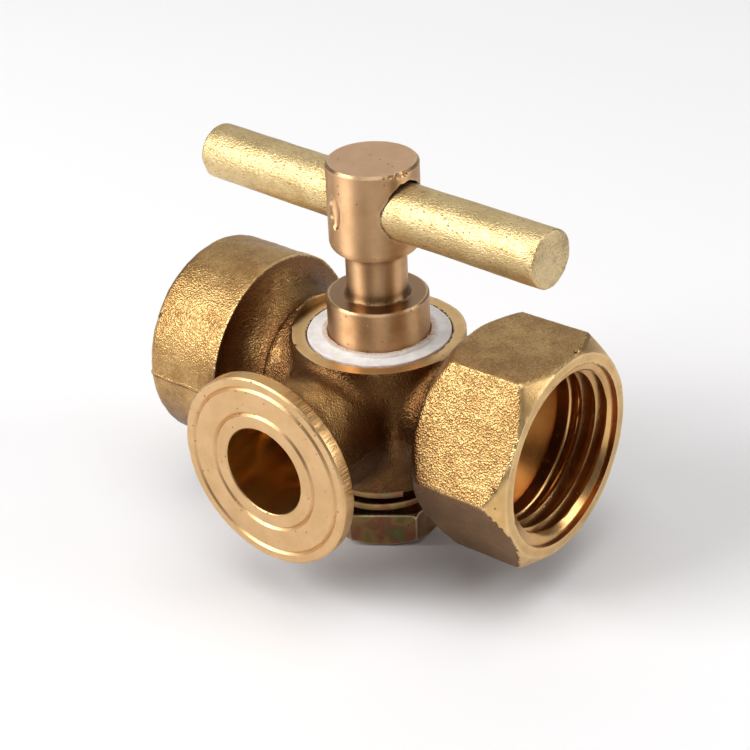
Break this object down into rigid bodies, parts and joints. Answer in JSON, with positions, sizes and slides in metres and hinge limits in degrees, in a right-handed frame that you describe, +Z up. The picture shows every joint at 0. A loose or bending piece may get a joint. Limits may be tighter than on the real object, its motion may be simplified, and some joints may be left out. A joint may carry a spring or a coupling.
{
  "type": "three way valve",
  "caption": "Brass three-way plug valve: T-bar on a tapered plug, a hexagonal and a round threaded port in line, and a disc-flange port at right angles.",
  "frame": {"origin": "centre of the flange port's bore on the flange's front face", "axes": "+Z up along the plug's axis, +X from the round socket towards the hexagonal port, -Y out of the flange port"},
  "size_m": [0.0522, 0.0355, 0.0474],
  "materials": {
    "cast_brass": "grainy hot-forged skin with machined rim, flange face and hexagon face",
    "turned_bronze": "lathe-turned, fine circular lines",
    "bar_brass": "drawn bar with fine pits",
    "packing_white": "waxy translucent white",
    "zinc_steel": "yellow passivated zinc with an iridescent cast"
  },
  "bodies": {
    "body": {"valve_body": "cast_brass", "packing_ring": "packing_white"},
    "plug": {"plug": "turned_bronze", "tee_bar": "bar_brass", "flat_washer": "zinc_steel", "spring_washer": "zinc_steel", "hex_nut": "zinc_steel"}
  },
  "joints": [
    {"name": "plug_turn", "type": "hinge", "parent": "body", "child": "plug", "pos_m": [0, 0.0216, 0], "axis": [0, 0, 1], "continuous": true}
  ]
}
